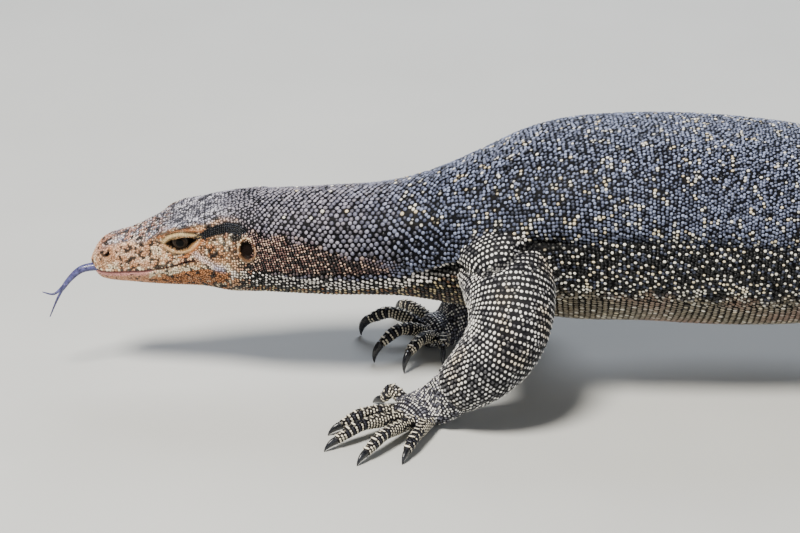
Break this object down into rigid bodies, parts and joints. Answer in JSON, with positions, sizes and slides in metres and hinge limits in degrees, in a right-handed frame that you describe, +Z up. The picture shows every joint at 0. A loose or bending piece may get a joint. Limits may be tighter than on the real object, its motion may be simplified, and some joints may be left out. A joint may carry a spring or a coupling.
{
  "type": "water monitor lizard model",
  "caption": "Life-size museum model of a water monitor lizard in mid stride, head held level, forked tongue out and tail laid on the floor.",
  "frame": {"origin": "floor level, at the middle of the whole box from the tongue's tip to the tail's tip", "axes": "+Z up, -X towards the head, +Y towards the animal's right side"},
  "size_m": [1.8026, 0.4016, 0.1992],
  "materials": {
    "hide_dark": "satin",
    "hide_spotted": "satin",
    "head_tan": "satin",
    "tongue_violet": "wet gloss",
    "eye_dark": "polished",
    "claw_black": "gloss"
  },
  "bodies": {
    "root": {"head": "head_tan", "lower_jaw": "head_tan", "tongue": "tongue_violet", "eye_left": "eye_dark", "eye_right": "eye_dark", "neck": "hide_dark", "chest": "hide_dark", "belly": "hide_dark", "hips": "hide_dark", "tail_1": "hide_dark", "tail_2": "hide_dark", "tail_3": "hide_dark", "tail_4": "hide_dark", "arm_left_upper": "hide_spotted", "arm_left_lower": "hide_spotted", "hand_left": "hide_spotted", "arm_right_upper": "hide_spotted", "arm_right_lower": "hide_spotted", "hand_right": "hide_spotted", "leg_left_upper": "hide_spotted", "leg_left_lower": "hide_spotted", "foot_left": "hide_spotted", "leg_right_upper": "hide_spotted", "leg_right_lower": "hide_spotted", "foot_right": "hide_spotted", "claw_hand_left_1": "claw_black", "claw_hand_left_2": "claw_black", "claw_hand_left_3": "claw_black", "claw_hand_left_4": "claw_black", "claw_hand_left_5": "claw_black", "claw_hand_right_1": "claw_black", "claw_hand_right_2": "claw_black", "claw_hand_right_3": "claw_black", "claw_hand_right_4": "claw_black", "claw_hand_right_5": "claw_black", "claw_foot_left_1": "claw_black", "claw_foot_left_2": "claw_black", "claw_foot_left_3": "claw_black", "claw_foot_left_4": "claw_black", "claw_foot_left_5": "claw_black", "claw_foot_right_1": "claw_black", "claw_foot_right_2": "claw_black", "claw_foot_right_3": "claw_black", "claw_foot_right_4": "claw_black", "claw_foot_right_5": "claw_black"}
  },
  "joints": []
}
